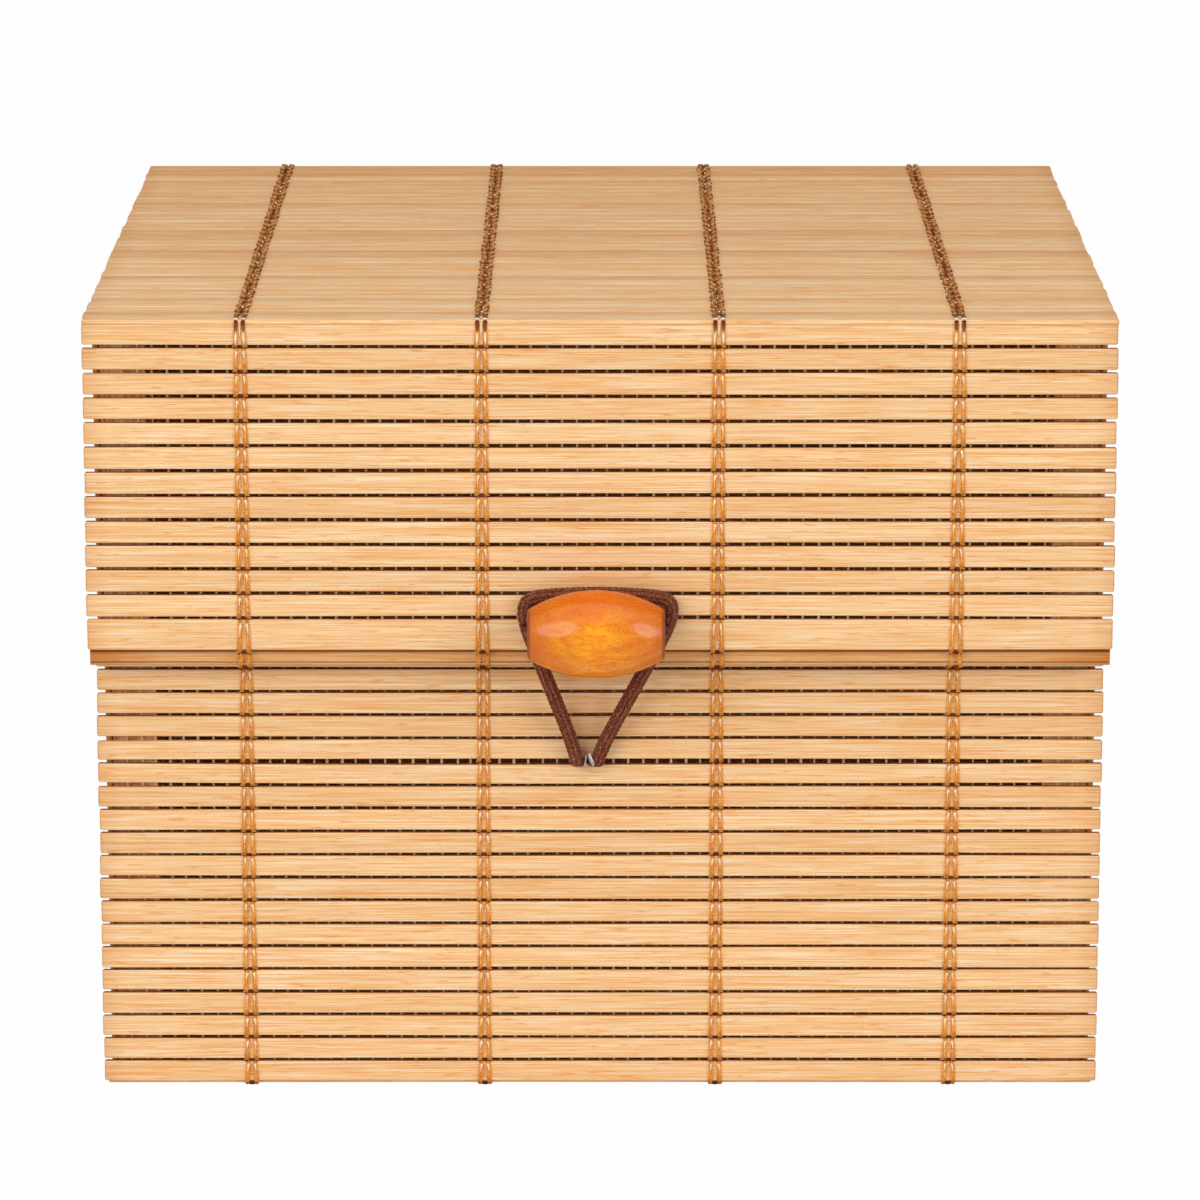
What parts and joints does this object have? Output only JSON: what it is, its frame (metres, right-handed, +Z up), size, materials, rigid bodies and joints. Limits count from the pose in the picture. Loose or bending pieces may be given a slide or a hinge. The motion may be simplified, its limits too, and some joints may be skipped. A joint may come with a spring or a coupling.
{
  "type": "bamboo slat box with hinged lid",
  "caption": "Rectangular slatted bamboo box with a deep hinged lid, held shut by an elastic loop that hooks over a barrel bead.",
  "frame": {"origin": "on the table, under the middle of the whole object, bead and hinge tape included", "axes": "+Z up, front with the bead faces -Y, +X to the right as seen from the front; the lid hinge runs along X at the back"},
  "size_m": [0.184, 0.1882, 0.1443],
  "materials": {
    "bamboo_slat": "natural bamboo, satin",
    "frame_wood": "plain sawn wood, matt",
    "board_wood": "plain board, matt",
    "bead_wood": "orange-brown stain under gloss lacquer",
    "gauze": "open cotton gauze",
    "stitch_thread": "golden brown stitching thread",
    "hinge_tape": "woven cotton tape",
    "elastic": "dark brown braided elastic",
    "bead_cord": "dark brown waxed thread",
    "crimp_steel": "plain steel"
  },
  "bodies": {
    "box": {"body_back_slats": "bamboo_slat", "body_back_threads": "stitch_thread", "body_bottom_slats": "bamboo_slat", "body_bottom_threads": "stitch_thread", "body_front_slats": "bamboo_slat", "body_front_threads": "stitch_thread", "body_left_slats": "bamboo_slat", "body_mat_gauze": "gauze", "body_post_back_left": "frame_wood", "body_post_back_right": "frame_wood", "body_post_front_left": "frame_wood", "body_post_front_right": "frame_wood", "body_rail_back": "frame_wood", "body_rail_front": "frame_wood", "body_rail_left": "frame_wood", "body_rail_right": "frame_wood", "body_right_slats": "bamboo_slat", "body_side_gauze": "gauze", "body_side_threads": "stitch_thread", "bottom_board": "board_wood", "hinge_tape_lower": "hinge_tape", "loop_crimp": "crimp_steel", "loop_tails": "elastic"},
    "lid": {"lid_back_slats": "bamboo_slat", "lid_front_slats": "bamboo_slat", "lid_inner_strip": "bamboo_slat", "lid_left_slats": "bamboo_slat", "lid_mat_gauze": "gauze", "lid_mat_threads": "stitch_thread", "lid_post_back_left": "frame_wood", "lid_post_back_right": "frame_wood", "lid_post_front_left": "frame_wood", "lid_post_front_right": "frame_wood", "lid_rail_back": "frame_wood", "lid_rail_left": "frame_wood", "lid_rail_right": "frame_wood", "lid_right_slats": "bamboo_slat", "lid_side_gauze": "gauze", "lid_side_threads": "stitch_thread", "lid_top_rail_left": "frame_wood", "lid_top_rail_right": "frame_wood", "lid_top_slats": "bamboo_slat", "lid_wide_slat": "bamboo_slat", "hinge_tape_upper": "hinge_tape", "bead_cord": "bead_cord", "bead_cord_knot": "bead_cord"},
    "bead": {"bead": "bead_wood"},
    "loop": {"closure_loop": "elastic"}
  },
  "joints": [
    {"name": "lid_hinge", "type": "hinge", "parent": "box", "child": "lid", "pos_m": [0, 0.09415, 0.0886], "axis": [-1, 0, 0], "range_deg": [0, 175]},
    {"name": "loop_release", "type": "hinge", "parent": "box", "child": "loop", "pos_m": [-0.00243, -0.07285, 0.062], "axis": [1, 0, 0], "range_deg": [0, 150], "deforming": ["closure_loop"]},
    {"name": "bead_spin", "type": "hinge", "parent": "lid", "child": "bead", "pos_m": [-0.0007, -0.0863, 0.08895], "axis": [1, 0, 0], "continuous": true}
  ],
  "couplings": [
    {"joint": "loop_release", "follows": "lid_hinge", "ratio": 0.857}
  ]
}
